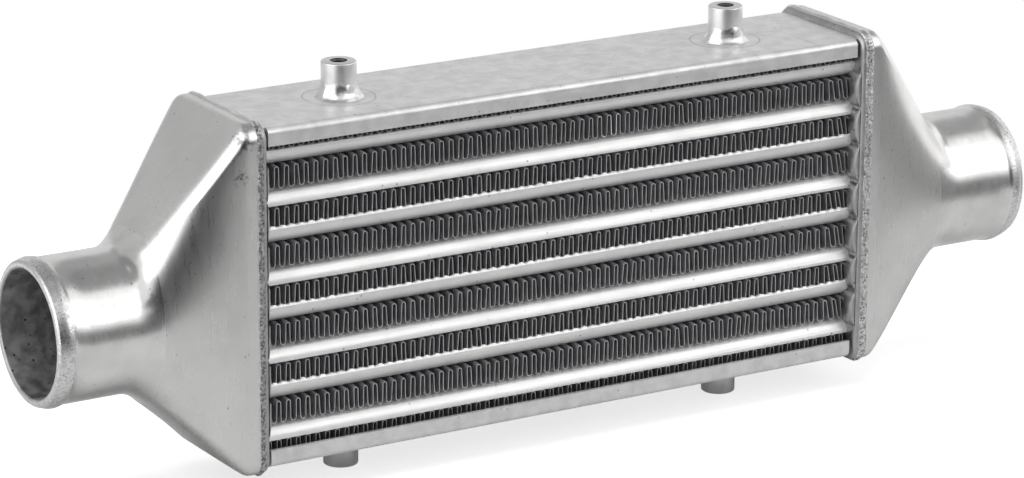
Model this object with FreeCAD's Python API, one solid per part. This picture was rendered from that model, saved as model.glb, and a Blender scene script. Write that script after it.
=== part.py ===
"""Aluminium tube-and-fin intercooler with cast end tanks and hose spigots.

Frame: the origin is the centre of the core, +X runs along the tubes to the right tank,
-Y is the front face that the cooling air enters, and +Z is up. Sizes are in millimetres.
"""
import FreeCAD
import Part
import math
import os
from FreeCAD import Vector

# Charge-air tubes, numbered from the top
TUBE_COUNT = 8
TUBE_HEIGHT = 6.4
TUBE_DEPTH = 50.0
TUBE_WALL = 0.8
TUBE_LIP = 1.2  # upright edge beside the tube's flat side
NOSE_BULGE = 0.62  # 0.5 is a straight slant from the lip to the curved side's crown, 0.707 a round
TUBE_REACH = 1.5  # how far a tube end stands into the tank past the header

# Folded cooling fins between the tubes
FIN_HEIGHT = 9.3
OUTER_FIN_HEIGHT = 8.2
FIN_DEPTH = 48.0
FIN_SHEET = 0.2
FIN_PITCH = 4.28
FIN_END_GAP = 0.6

# Folded inner fins, brazed inside the tubes
TURBULATOR_WAVES = 7
TURBULATOR_SHEET = 0.3
TURBULATOR_END_GAP = 2.0

# Side plates, folded channels above and below the core
CORE_LENGTH = 275.0  # between the two header faces
PLATE_DEPTH = 57.0
PLATE_SHEET = 1.6
PLATE_LIP = 7.1
PLATE_BEND = 2.5  # outside radius of the fold
LIP_END_GAP = 1.2

# Header plates, pressed trays that carry the tube ends
HEADER_OVERHANG = 2.5  # past the side plates on all four sides
HEADER_SHEET = 2.0
HEADER_RIM = 3.7
HEADER_CORNER = 7.0
HEADER_EDGE_ROUND = 2.5
BRAZE_GAP = 0.05

# Cast end tanks, which narrow from the header to a round spigot
TANK_WALL = 3.0
SKIRT_LENGTH = 5.3
TAPER_LENGTH = 40.0
NECK_ROUND = 4.5
NECK_TURN = 45.0  # degrees that the hollow neck round turns through
SPIGOT_DROP = 7.0
SPIGOT_RADIUS = 28.5
SPIGOT_BORE_RADIUS = 25.2
SPIGOT_LENGTH = 38.5
BEAD_HEIGHT = 0.8
BEAD_WIDTH = 6.4
MOUTH_ROUND = 1.6

# Weld between each tank and its header
TANK_WELD_WIDTH = 4.3
TANK_WELD_CROWN = 0.9
TANK_WELD_TOE = 0.15

# Threaded mounting bosses, two above and two below
BOSS_SPACING = 180.0
BOSS_RADIUS = 7.0
BOSS_HEIGHT = 14.5
BOSS_CHAMFER = 0.7
BOSS_HOLE_RADIUS = 3.4
BOSS_HOLE_DEPTH = 12.0
BOSS_WELD_REACH = 4.5
BOSS_WELD_HEIGHT = 3.6

# Worked-out places
STACK_HEIGHT = TUBE_COUNT * TUBE_HEIGHT + (TUBE_COUNT - 1) * FIN_HEIGHT + 2 * OUTER_FIN_HEIGHT
CORE_HEIGHT = STACK_HEIGHT + 2 * PLATE_SHEET
HEADER_HEIGHT = CORE_HEIGHT + 2 * HEADER_OVERHANG
HEADER_DEPTH = max(PLATE_DEPTH, 2 * SPIGOT_RADIUS) + 2 * HEADER_OVERHANG
HEADER_X = CORE_LENGTH / 2
SEAM_X = HEADER_X + HEADER_RIM
TAPER_X = SEAM_X + SKIRT_LENGTH
NECK_X = TAPER_X + TAPER_LENGTH
NECK_RADIUS = SPIGOT_RADIUS + NECK_ROUND * (1 - math.cos(math.radians(NECK_TURN)))
MOUTH_X = NECK_X + SPIGOT_LENGTH
FIN_LENGTH = CORE_LENGTH - 2 * FIN_END_GAP
FIN_WAVES = round(FIN_LENGTH / FIN_PITCH)
TUBE_LENGTH = CORE_LENGTH + 2 * (HEADER_SHEET + TUBE_REACH)
NOSE_RADIUS = TUBE_HEIGHT - TUBE_LIP


def prism(wire, travel):
    """Solid swept straight from a closed flat wire."""
    return Part.Face(wire).extrude(travel)


def polar(radius, degrees):
    """Offset in the YZ plane, with zero degrees along +Y."""
    angle = math.radians(degrees)
    return Vector(0, radius * math.cos(angle), radius * math.sin(angle))


def quarter_arcs(x, half_depth, half_height, radius, z=0.0):
    """Four quarter circles across X, centred on the corners of a box round (0, z)."""
    arcs = []
    for turn, (side, up) in enumerate([(1, 1), (-1, 1), (-1, -1), (1, -1)]):
        centre = Vector(x, side * half_depth, z + up * half_height)
        points = [centre + polar(radius, 90 * turn + step) for step in (0, 45, 90)]
        arcs.append(Part.Arc(*points).toShape())
    return arcs


def ends(edge):
    """First and last point of an arc."""
    return edge.valueAt(edge.FirstParameter), edge.valueAt(edge.LastParameter)


def corner_arcs(x, depth, height, radius):
    """Rounded corners of a rectangle across X."""
    return quarter_arcs(x, depth / 2 - radius, height / 2 - radius, radius)


def rounded_rectangle(x, depth, height, radius):
    """Closed wire across X, with its four corners rounded."""
    arcs = corner_arcs(x, depth, height, radius)
    edges = []
    for arc, following in zip(arcs, arcs[1:] + arcs[:1]):
        edges += [arc, Part.LineSegment(ends(arc)[1], ends(following)[0]).toShape()]
    return Part.Wire(edges)


def zigzag_outline(length, height, sheet, waves):
    """Points of a thin sheet folded to and fro, as (along, up) pairs."""
    half_wave = length / (2 * waves)
    steepness = math.hypot(half_wave, height) / half_wave
    upright_sheet = sheet * steepness
    fold = (height - upright_sheet) / 2
    ridge = [
        (half_wave * i - length / 2, fold if i % 2 else -fold) for i in range(2 * waves + 1)
    ]
    upper = [(s, t + upright_sheet / 2) for s, t in ridge]
    lower = [(s, t - upright_sheet / 2) for s, t in reversed(ridge)]
    return upper + lower


def fin_strip(height, z):
    """Folded fin whose walls stand across the core, open from front to back."""
    outline = zigzag_outline(FIN_LENGTH, height, FIN_SHEET, FIN_WAVES)
    points = [Vector(s, -FIN_DEPTH / 2, z + t) for s, t in outline]
    return prism(Part.makePolygon(points + points[:1]), Vector(0, FIN_DEPTH, 0))


def turbulator(z):
    """Folded inner fin with its channels along the tube."""
    width = TUBE_DEPTH - 2 * NOSE_RADIUS
    height = TUBE_HEIGHT - 2 * TUBE_WALL
    outline = zigzag_outline(width, height, TURBULATOR_SHEET, TURBULATOR_WAVES)
    half_length = TUBE_LENGTH / 2 - TURBULATOR_END_GAP
    points = [Vector(-half_length, s, z + t) for s, t in outline]
    return prism(Part.makePolygon(points + points[:1]), Vector(2 * half_length, 0, 0))


def tube_outline(x, z, inset, flat_side):
    """Tube section across X. One side is flat, and the other curves into both noses.

    flat_side is 1 where the flat side is on top and -1 where it is below.
    """
    edge = TUBE_DEPTH / 2 - inset
    shoulder = TUBE_DEPTH / 2 - NOSE_RADIUS
    flat = TUBE_HEIGHT / 2 - inset
    lip = TUBE_HEIGHT / 2 - TUBE_LIP
    slant = (NOSE_RADIUS - inset) * NOSE_BULGE

    def point(y, up):
        return Vector(x, y, z + flat_side * up)

    def nose(side):
        """Shallow arc from the lip to the crown of the curved side."""
        return Part.Arc(
            point(side * edge, lip), point(side * (shoulder + slant), lip - slant),
            point(side * shoulder, -flat)).toShape()

    lines = [
        ((-edge, flat), (edge, flat)), ((edge, flat), (edge, lip)),
        ((shoulder, -flat), (-shoulder, -flat)), ((-edge, lip), (-edge, flat)),
    ]
    edges = [Part.LineSegment(point(*a), point(*b)).toShape() for a, b in lines]
    return Part.Wire(Part.__sortEdges__(edges + [nose(1), nose(-1)]))


def tube_prism(z, inset, flat_side, low_x, high_x):
    """Solid with the tube's outer or inner section."""
    return prism(tube_outline(low_x, z, inset, flat_side), Vector(high_x - low_x, 0, 0))


def tube(z, flat_side):
    """Open-ended flat tube with thin walls."""
    half = TUBE_LENGTH / 2
    outside = tube_prism(z, 0, flat_side, -half, half)
    return outside.cut(tube_prism(z, TUBE_WALL, flat_side, -half - 1, half + 1))


def side_plate():
    """Folded channel over the core, with its lips hanging at the front and back."""
    top = CORE_HEIGHT / 2
    y = PLATE_DEPTH / 2
    block = Part.makeBox(CORE_LENGTH, PLATE_DEPTH, PLATE_LIP, Vector(-HEADER_X, -y, top - PLATE_LIP))
    block = block.makeFillet(PLATE_BEND, long_edges(block, top))
    inner_y = y - PLATE_SHEET
    hollow = Part.makeBox(
        CORE_LENGTH + 2, 2 * inner_y, PLATE_LIP,
        Vector(-HEADER_X - 1, -inner_y, top - PLATE_SHEET - PLATE_LIP))
    hollow = hollow.makeFillet(PLATE_BEND - PLATE_SHEET, long_edges(hollow, top - PLATE_SHEET))
    plate = block.cut(hollow)
    for x in (-HEADER_X, HEADER_X - LIP_END_GAP):
        for corner_y in (-y, y - PLATE_BEND):
            notch = Part.makeBox(
                LIP_END_GAP, PLATE_BEND, PLATE_LIP, Vector(x, corner_y, top - PLATE_LIP))
            plate = plate.cut(notch)
    return plate


def long_edges(solid, z):
    """Edges of a block that run along X at one height."""
    return [
        e for e in solid.Edges
        if abs(e.BoundBox.ZMin - z) < 1e-6 and abs(e.BoundBox.ZMax - z) < 1e-6
        and e.BoundBox.XLength > 1
    ]


def header(tubes):
    """Right header: a tray with one slot for each tube, open towards the tank."""
    tray = prism(
        rounded_rectangle(HEADER_X, HEADER_DEPTH, HEADER_HEIGHT, HEADER_CORNER),
        Vector(HEADER_RIM, 0, 0))
    core_side = [e for e in tray.Edges if e.BoundBox.XMax < HEADER_X + 1e-6]
    tray = tray.makeFillet(HEADER_EDGE_ROUND, core_side)
    pocket = prism(
        rounded_rectangle(
            HEADER_X + HEADER_SHEET, HEADER_DEPTH - 2 * HEADER_SHEET,
            HEADER_HEIGHT - 2 * HEADER_SHEET, HEADER_CORNER - HEADER_SHEET),
        Vector(HEADER_RIM, 0, 0))
    slots = [
        tube_prism(z, -BRAZE_GAP, flat_side, HEADER_X - 1, SEAM_X + 1)
        for z, flat_side in tubes
    ]
    return tray.cut([pocket] + slots)


def taper(start_x, end_x, inset, neck_radius):
    """Solid that narrows from the header's rounded rectangle to the round neck.

    Four flat triangles touch the neck at one point each, with a cone between each pair.
    """
    size = (HEADER_DEPTH - 2 * inset, HEADER_HEIGHT - 2 * inset, HEADER_CORNER - inset)
    wide = corner_arcs(start_x, *size)
    narrow = quarter_arcs(end_x, 0, 0, neck_radius, -SPIGOT_DROP)
    faces = [Part.Face(rounded_rectangle(start_x, *size)), Part.Face(Part.Wire(narrow))]
    for turn in range(4):
        faces.append(Part.makeRuledSurface(wide[turn], narrow[turn]))
        corners = [ends(wide[turn])[1], ends(wide[(turn + 1) % 4])[0], ends(narrow[turn])[1]]
        faces.append(Part.Face(Part.makePolygon(corners + corners[:1])))
    skin = Part.makeCompound(faces)
    skin.sewShape()
    return Part.makeSolid(skin.Shells[0])


def on_spigot(x, radius):
    """Point above the spigot's axis."""
    return Vector(x, 0, radius - SPIGOT_DROP)


def neck_point(degrees):
    """Point on the neck round, with zero degrees where it runs into the spigot."""
    foot_x = NECK_X + NECK_ROUND * math.sin(math.radians(NECK_TURN))
    angle = math.radians(degrees)
    lift = NECK_ROUND * (1 - math.cos(angle))
    return on_spigot(foot_x - NECK_ROUND * math.sin(angle), SPIGOT_RADIUS + lift)


def mouth_point(degrees):
    """Point on the rounded mouth, with zero degrees at the end face."""
    angle = math.radians(degrees)
    inner = SPIGOT_RADIUS - MOUTH_ROUND
    return on_spigot(
        MOUTH_X - MOUTH_ROUND * (1 - math.cos(angle)), inner + MOUTH_ROUND * math.sin(angle))


def spigot():
    """Neck round, plain hose seat, bead and rounded mouth, as one turned solid."""
    neck = [neck_point(share * NECK_TURN) for share in (1, 0.5, 0)]
    mouth = [mouth_point(degrees) for degrees in (90, 45, 0)]
    bead_start = on_spigot(mouth[0].x - BEAD_WIDTH, SPIGOT_RADIUS)
    bead_top = on_spigot(mouth[0].x - BEAD_WIDTH / 2, SPIGOT_RADIUS + BEAD_HEIGHT)
    axis_points = on_spigot(NECK_X, 0), on_spigot(MOUTH_X, 0)
    edges = [
        Part.LineSegment(axis_points[0], neck[0]), Part.Arc(*neck),
        Part.LineSegment(neck[2], bead_start), Part.Arc(bead_start, bead_top, mouth[0]),
        Part.Arc(*mouth), Part.LineSegment(mouth[2], axis_points[1]),
        Part.LineSegment(*reversed(axis_points)),
    ]
    section = Part.Face(Part.Wire([edge.toShape() for edge in edges]))
    return section.revolve(axis_points[0], Vector(1, 0, 0), 360)


def tank():
    """Right end tank: a hollow casting from the header seam to the hose mouth."""
    skirt = prism(
        rounded_rectangle(SEAM_X, HEADER_DEPTH, HEADER_HEIGHT, HEADER_CORNER),
        Vector(SKIRT_LENGTH, 0, 0))
    outside = skirt.fuse([taper(TAPER_X, NECK_X, 0, NECK_RADIUS), spigot()])
    inner_x = TAPER_X - TANK_WALL / 2
    inner_skirt = prism(
        rounded_rectangle(
            SEAM_X - 1, HEADER_DEPTH - 2 * TANK_WALL, HEADER_HEIGHT - 2 * TANK_WALL,
            HEADER_CORNER - TANK_WALL),
        Vector(inner_x - SEAM_X + 1, 0, 0))
    bore = Part.makeCylinder(
        SPIGOT_BORE_RADIUS, MOUTH_X - NECK_X + 1, Vector(NECK_X, 0, -SPIGOT_DROP), Vector(1, 0, 0))
    inside = inner_skirt.fuse([taper(inner_x, NECK_X, TANK_WALL, SPIGOT_BORE_RADIUS), bore])
    return outside.cut(inside).removeSplitter()


def tank_weld():
    """Crowned bead that runs right round the seam of the right tank."""
    low = SEAM_X - TANK_WELD_WIDTH / 2
    sections = [
        (0.0, TANK_WELD_TOE), (0.3, TANK_WELD_CROWN), (0.7, TANK_WELD_CROWN), (1.0, TANK_WELD_TOE)
    ]
    rings = [
        rounded_rectangle(
            low + share * TANK_WELD_WIDTH, HEADER_DEPTH + 2 * crown, HEADER_HEIGHT + 2 * crown,
            HEADER_CORNER + crown)
        for share, crown in sections
    ]
    bead = Part.makeLoft(rings, True, True)
    core = prism(
        rounded_rectangle(low - 1, HEADER_DEPTH, HEADER_HEIGHT, HEADER_CORNER),
        Vector(TANK_WELD_WIDTH + 2, 0, 0))
    return bead.cut(core)


def boss(x):
    """Round boss on the top plate, with a blind threaded hole."""
    foot = Vector(x, 0, CORE_HEIGHT / 2)
    body = Part.makeCylinder(BOSS_RADIUS, BOSS_HEIGHT, foot)
    rim = [e for e in body.Edges if e.BoundBox.ZMin > foot.z + BOSS_HEIGHT - 1e-6]
    body = body.makeChamfer(BOSS_CHAMFER, rim)
    floor = foot + Vector(0, 0, BOSS_HEIGHT - BOSS_HOLE_DEPTH)
    return body.cut(Part.makeCylinder(BOSS_HOLE_RADIUS, BOSS_HOLE_DEPTH + 1, floor))


def boss_weld(x):
    """Hollow fillet weld round the foot of a boss."""
    z = CORE_HEIGHT / 2
    waist_radius = BOSS_RADIUS + 0.3 * BOSS_WELD_REACH
    waist_height = 0.38 * BOSS_WELD_HEIGHT
    outline = [
        (BOSS_RADIUS, 0), (BOSS_RADIUS, BOSS_WELD_HEIGHT), (waist_radius, waist_height),
        (BOSS_RADIUS + BOSS_WELD_REACH, 0),
    ]
    points = [Vector(x + r, 0, z + up) for r, up in outline]
    section = Part.Face(Part.makePolygon(points + points[:1]))
    return section.revolve(Vector(x, 0, z), Vector(0, 0, 1), 360)


def mirrored(shape, normal):
    """Copy on the other side of the core."""
    return shape.mirror(Vector(0, 0, 0), normal)


def save(name, solids):
    """Write one node, either a solid or a group of like solids."""
    shape = solids[0] if len(solids) == 1 else Part.makeCompound(solids)
    shape.exportStep(os.path.join("parts", name + ".step"))


def build():
    """Make every piece of the intercooler and write it."""
    os.makedirs("parts", exist_ok=True)
    up, across = Vector(0, 0, 1), Vector(1, 0, 0)
    pitch = TUBE_HEIGHT + FIN_HEIGHT
    top_tube_z = STACK_HEIGHT / 2 - OUTER_FIN_HEIGHT - TUBE_HEIGHT / 2
    tubes = [
        (top_tube_z - i * pitch, 1 if i % 2 == 0 else -1) for i in range(TUBE_COUNT)
    ]
    for number, (z, flat_side) in enumerate(tubes, 1):
        save(f"tube_{number}", [tube(z, flat_side)])
        save(f"turbulator_{number}", [turbulator(z)])

    outer_z = (STACK_HEIGHT - OUTER_FIN_HEIGHT) / 2
    save("fin_strip_1", [fin_strip(OUTER_FIN_HEIGHT, outer_z)])
    for number, (z, _) in enumerate(tubes[:-1], 2):
        save(f"fin_strip_{number}", [fin_strip(FIN_HEIGHT, z - pitch / 2)])
    save(f"fin_strip_{TUBE_COUNT + 1}", [fin_strip(OUTER_FIN_HEIGHT, -outer_z)])

    top_plate = side_plate()
    save("side_plate_top", [top_plate])
    save("side_plate_bottom", [mirrored(top_plate, up)])

    for name, right in (("header", header(tubes)), ("tank", tank()), ("tank_weld", tank_weld())):
        save(f"{name}_right", [right])
        save(f"{name}_left", [mirrored(right, across)])

    places = (-BOSS_SPACING / 2, BOSS_SPACING / 2)
    for name, maker in (("bosses", boss), ("boss_welds", boss_weld)):
        upper = [maker(x) for x in places]
        save(f"{name}_top", upper)
        save(f"{name}_bottom", [mirrored(s, up) for s in upper])


build()
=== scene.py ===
"""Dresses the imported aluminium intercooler: cast tanks, welds, fins, tubes, plates and bosses.

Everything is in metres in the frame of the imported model. +X runs along the tubes to the right
tank, -Y is the front face and +Z is up.
"""
import logging
import math
import random
from contextlib import contextmanager
from dataclasses import dataclass, field
from enum import Enum, IntEnum
from typing import Callable, Iterator, Sequence

import bmesh
import bpy
from mathutils import Matrix, Vector, noise


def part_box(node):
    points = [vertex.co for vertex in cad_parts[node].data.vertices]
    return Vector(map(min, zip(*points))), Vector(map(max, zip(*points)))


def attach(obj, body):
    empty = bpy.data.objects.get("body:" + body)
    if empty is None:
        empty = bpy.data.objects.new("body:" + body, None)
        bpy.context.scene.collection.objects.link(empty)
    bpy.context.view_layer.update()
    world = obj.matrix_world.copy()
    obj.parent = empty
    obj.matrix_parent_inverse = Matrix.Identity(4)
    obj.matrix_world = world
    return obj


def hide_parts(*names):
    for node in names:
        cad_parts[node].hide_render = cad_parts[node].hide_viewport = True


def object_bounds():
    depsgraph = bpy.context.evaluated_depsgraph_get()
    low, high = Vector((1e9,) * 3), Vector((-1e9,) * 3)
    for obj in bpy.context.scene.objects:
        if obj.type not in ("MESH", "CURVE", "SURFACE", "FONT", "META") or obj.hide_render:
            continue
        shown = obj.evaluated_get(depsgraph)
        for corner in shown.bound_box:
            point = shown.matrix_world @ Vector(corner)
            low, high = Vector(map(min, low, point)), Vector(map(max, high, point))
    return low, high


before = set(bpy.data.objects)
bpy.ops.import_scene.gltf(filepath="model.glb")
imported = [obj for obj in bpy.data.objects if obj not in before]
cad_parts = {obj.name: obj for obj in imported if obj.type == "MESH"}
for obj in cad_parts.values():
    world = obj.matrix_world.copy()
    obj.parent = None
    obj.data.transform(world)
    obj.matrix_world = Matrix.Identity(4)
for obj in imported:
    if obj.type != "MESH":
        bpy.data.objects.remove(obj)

CAD_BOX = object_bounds()
MM = 0.001
BODY = "root"
SEED = 7803
SAME_PLACE = 1e-6
SAME_RING = 1e-7

log = logging.getLogger("intercooler")

Piece = bpy.types.Object
Material = bpy.types.Material
Socket = bpy.types.NodeSocket
Tree = bpy.types.NodeTree
Pair = tuple[float, float]
Point = tuple[float, float, float]
Tone = float | Point
Profile = list[Pair]
Outline = list[Vector]
Mover = Callable[[Vector], Vector]


class Side(Enum):
    """Which end or face of the core a piece belongs to, with its sign along the axis."""

    LEFT = -1
    RIGHT = 1
    BOTTOM = -2
    TOP = 2

    @property
    def sign(self) -> int:
        """Direction along X or Z, as plus or minus one."""
        return 1 if self.value > 0 else -1

    @property
    def word(self) -> str:
        """The side's name as the nodes spell it."""
        return self.name.lower()


class TankSlot(IntEnum):
    """Order of the materials on an end tank."""

    CAST = 0
    TURNED = 1
    BORE = 2
    SANDED = 3


class StripSlot(IntEnum):
    """Order of the materials on a strip of fins."""

    WALL = 0
    EDGE = 1
    # Also used for painted glints: the bright braze finish on bent fin edges.
    BRAZE_AND_GLINT = 2


def clamp(value: float) -> float:
    """Keep a share between zero and one."""
    return max(0.0, min(1.0, value))


def between(first: Pair, second: Pair, share: float) -> Pair:
    """Point at a share of the way from one point to another."""
    return ((1 - share) * first[0] + share * second[0],
            (1 - share) * first[1] + share * second[1])


def arc_points(centre: Pair, radius: float, start: float, end: float, steps: int) -> Profile:
    """Points along an arc in a plane, both ends included.

    Args:
        centre: The arc's centre.
        radius: The arc's radius.
        start: First angle, in degrees from the plane's first axis.
        end: Last angle, in degrees.
        steps: Number of divisions.

    Returns:
        The points in order.
    """
    angles = [math.radians(start + (end - start) * i / steps) for i in range(steps + 1)]
    return [(centre[0] + radius * math.cos(a), centre[1] + radius * math.sin(a)) for a in angles]


def deselect_all() -> None:
    """Go to object mode with nothing selected."""
    if bpy.context.object and bpy.context.object.mode != "OBJECT":
        bpy.ops.object.mode_set(mode="OBJECT")
    bpy.ops.object.select_all(action="DESELECT")


def activate(piece: Piece) -> None:
    """Make one object the only selected and active one.

    Args:
        piece: The object to work on.
    """
    deselect_all()
    piece.select_set(True)
    bpy.context.view_layer.objects.active = piece


@contextmanager
def editing(piece: Piece) -> Iterator[None]:
    """Hold an object in edit mode, with all of it selected at first.

    Args:
        piece: The mesh object.

    Yields:
        Nothing, while the object is in edit mode.
    """
    activate(piece)
    bpy.ops.object.mode_set(mode="EDIT")
    bpy.ops.mesh.select_all(action="SELECT")
    yield
    bpy.ops.object.mode_set(mode="OBJECT")


def name_new(name: str) -> Piece:
    """Name the primitive that was just added.

    Args:
        name: Name for the object and its mesh.

    Returns:
        The new object.
    """
    piece = bpy.context.object
    piece.name = name
    piece.data.name = name
    return piece


def merge_doubles(piece: Piece, distance: float) -> None:
    """Join vertices that lie at the same place.

    Args:
        piece: The mesh object.
        distance: Largest distance between vertices that are joined.
    """
    with editing(piece):
        bpy.ops.mesh.remove_doubles(threshold=distance)


def face_outwards(piece: Piece) -> None:
    """Turn every face of a mesh to point outwards.

    Args:
        piece: The mesh object.
    """
    with editing(piece):
        bpy.ops.mesh.normals_make_consistent(inside=False)


def cut_across(piece: Piece, axis: Point, places: Sequence[float]) -> None:
    """Cut a mesh with planes that stand across an axis, leaving both sides.

    Args:
        piece: The mesh object.
        axis: Direction of the axis.
        places: Where the planes cross it.
    """
    with editing(piece):
        for place in places:
            bpy.ops.mesh.select_all(action="SELECT")
            bpy.ops.mesh.bisect(plane_co=Vector(axis) * place, plane_no=axis)


def smooth(piece: Piece, degrees: float) -> None:
    """Shade smooth, apart from edges sharper than an angle.

    Args:
        piece: The mesh object.
        degrees: Angle above which an edge stays sharp.
    """
    activate(piece)
    bpy.ops.object.shade_smooth_by_angle(angle=math.radians(degrees))


def apply_modifiers(piece: Piece) -> None:
    """Apply each modifier of an object in order.

    Args:
        piece: The object that carries the modifiers.
    """
    activate(piece)
    for modifier in list(piece.modifiers):
        bpy.ops.object.modifier_apply(modifier=modifier.name)


def weight_normals(piece: Piece) -> None:
    """Let large flat faces keep their shading next to small bent ones.

    Args:
        piece: The smooth-shaded mesh object.
    """
    piece.modifiers.new("weighted", "WEIGHTED_NORMAL").keep_sharp = True
    apply_modifiers(piece)


def repeat_along(piece: Piece, count: int, pitch: float, merge: bool) -> None:
    """Copy a mesh in a row along X.

    Args:
        piece: The mesh object.
        count: Number of copies, the first one included.
        pitch: Distance from one copy to the next.
        merge: Whether neighbours that touch become one mesh.
    """
    repeat = piece.modifiers.new("repeat", "ARRAY")
    repeat.count = count
    repeat.use_relative_offset = False
    repeat.use_constant_offset = True
    repeat.constant_offset_displace = (pitch, 0.0, 0.0)
    repeat.use_merge_vertices = merge
    repeat.merge_threshold = SAME_PLACE
    apply_modifiers(piece)


def join(pieces: Sequence[Piece]) -> Piece:
    """Join mesh objects into the first of them.

    Args:
        pieces: The objects, which keep their materials.

    Returns:
        The first object.
    """
    deselect_all()
    for piece in pieces:
        piece.select_set(True)
    bpy.context.view_layer.objects.active = pieces[0]
    bpy.ops.object.join()
    return pieces[0]


def shape_vertices(piece: Piece, mover: Mover) -> None:
    """Move each vertex by a rule, as with a sculpting brush.

    Args:
        piece: The mesh object.
        mover: Gives a vertex's new place from its old one.
    """
    for vertex in piece.data.vertices:
        vertex.co = mover(vertex.co.copy())
    piece.data.update()


def merged_copy(node: str, name: str) -> Piece:
    """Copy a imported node's mesh and join its loose triangles.

    Args:
        node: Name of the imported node.
        name: Name for the copy.

    Returns:
        The copy, at the origin.
    """
    copy = bpy.data.objects.new(name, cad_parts[node].data.copy())
    copy.data.name = name
    copy.data.materials.clear()
    bpy.context.scene.collection.objects.link(copy)
    merge_doubles(copy, SAME_PLACE)
    return copy


def place_selected(piece: Piece, points: Outline) -> None:
    """Put the selected loop of vertices on a list of points.

    Args:
        piece: The object in edit mode.
        points: One point for each selected vertex, in their order round the loop.
    """
    mesh = bmesh.from_edit_mesh(piece.data)
    chosen = sorted((v for v in mesh.verts if v.select), key=lambda v: v.index)
    for vertex, point in zip(chosen, points):
        vertex.co = point
    mesh.verts.index_update()
    bmesh.update_edit_mesh(piece.data)


def loft(name: str, rings: Sequence[Outline], closed: bool) -> Piece:
    """Skin a row of rings that have the same number of points.

    Args:
        name: Name for the object.
        rings: Outlines in order, each a closed loop of points.
        closed: Whether the last ring joins the first one.

    Returns:
        The new mesh object.
    """
    deselect_all()
    bpy.ops.mesh.primitive_circle_add(vertices=len(rings[0]), radius=1.0)
    piece = name_new(name)
    with editing(piece):
        place_selected(piece, rings[0])
        for ring in [*rings[1:], *([rings[0]] if closed else [])]:
            bpy.ops.mesh.extrude_region_move()
            place_selected(piece, ring)
    if closed:
        merge_doubles(piece, SAME_RING)
    face_outwards(piece)
    return piece


def hand_in(piece: Piece, finishes: Sequence[Material], node: str) -> None:
    """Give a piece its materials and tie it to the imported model.

    Args:
        piece: The finished mesh object.
        finishes: Materials in slot order.
        node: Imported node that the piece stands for.
    """
    indexes = [face.material_index for face in piece.data.polygons]
    piece.data.materials.clear()
    for finish in finishes:
        piece.data.materials.append(finish)
    piece.data.polygons.foreach_set("material_index", indexes)
    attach(piece, BODY)
    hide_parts(node)
    log.info("%s: %d faces", piece.name, len(piece.data.polygons))


def dress(node: str, finish: Material) -> None:
    """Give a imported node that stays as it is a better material.

    Args:
        node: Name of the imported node.
        finish: The material.
    """
    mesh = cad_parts[node].data
    mesh.materials.clear()
    mesh.materials.append(finish)


def rgba(tone: Tone) -> tuple[float, ...]:
    """Write a grey or a colour as Blender's four numbers."""
    return (*(tone if isinstance(tone, tuple) else (tone,) * 3), 1.0)


class Network:
    """A node tree with short calls for adding and joining nodes."""

    def __init__(self, tree: Tree) -> None:
        """Start on the node tree of a material, a world or a group."""
        self.tree = tree

    def add(self, kind: str, inputs: dict | None = None, **settings: object) -> bpy.types.Node:
        """Add a node, set its options and fill its inputs.

        Args:
            kind: Blender's class name for the node, after ShaderNode.
            inputs: Values or output sockets for inputs, by name or number.
            **settings: Attributes of the node.

        Returns:
            The new node.
        """
        node = self.tree.nodes.new("ShaderNode" + kind)
        for name, value in settings.items():
            setattr(node, name, value)
        for key, value in (inputs or {}).items():
            if isinstance(value, Socket):
                self.tree.links.new(value, node.inputs[key])
            else:
                node.inputs[key].default_value = value
        return node

    def math(self, operation: str, *values: object) -> Socket:
        """Add a Math node with an operation and numbers or sockets for its inputs."""
        return self.add("Math", dict(enumerate(values)), operation=operation).outputs[0]

    def hypot(self, first: Socket, second: Socket) -> Socket:
        """Length of the long side of a right triangle from its two short ones."""
        squares = [self.math("POWER", side, 2.0) for side in (first, second)]
        return self.math("SQRT", self.math("ADD", *squares))

    def ramp(self, value: Socket, low: object, high: object, start: float = 0.0,
             end: float = 1.0) -> Socket:
        """Map a range of a value to another one, clamped and smoothed.

        Args:
            value: Socket to map.
            low: Value that gives start.
            high: Value that gives end.
            start: Result at low.
            end: Result at high.

        Returns:
            The mapped value.
        """
        node = self.add("MapRange", {0: value, 1: low, 2: high, 3: start, 4: end},
                        interpolation_type="SMOOTHSTEP")
        return node.outputs[0]

    def mix(self, factor: Socket, first: object, second: object) -> Socket:
        """Mix two colours, given as values or sockets, by the share of the second."""
        node = self.add("Mix", {"Factor": factor, 6: first, 7: second}, data_type="RGBA")
        return node.outputs[2]

    def group(self, tree: Tree, **values: float) -> Socket:
        """Place a shader group.

        Args:
            tree: The group.
            **values: Its inputs by name, with underscores for spaces.

        Returns:
            The group's value.
        """
        node = self.add("Group", node_tree=tree)
        for name, value in values.items():
            node.inputs[name.replace("_", " ")].default_value = value
        return node.outputs[0]


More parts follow.
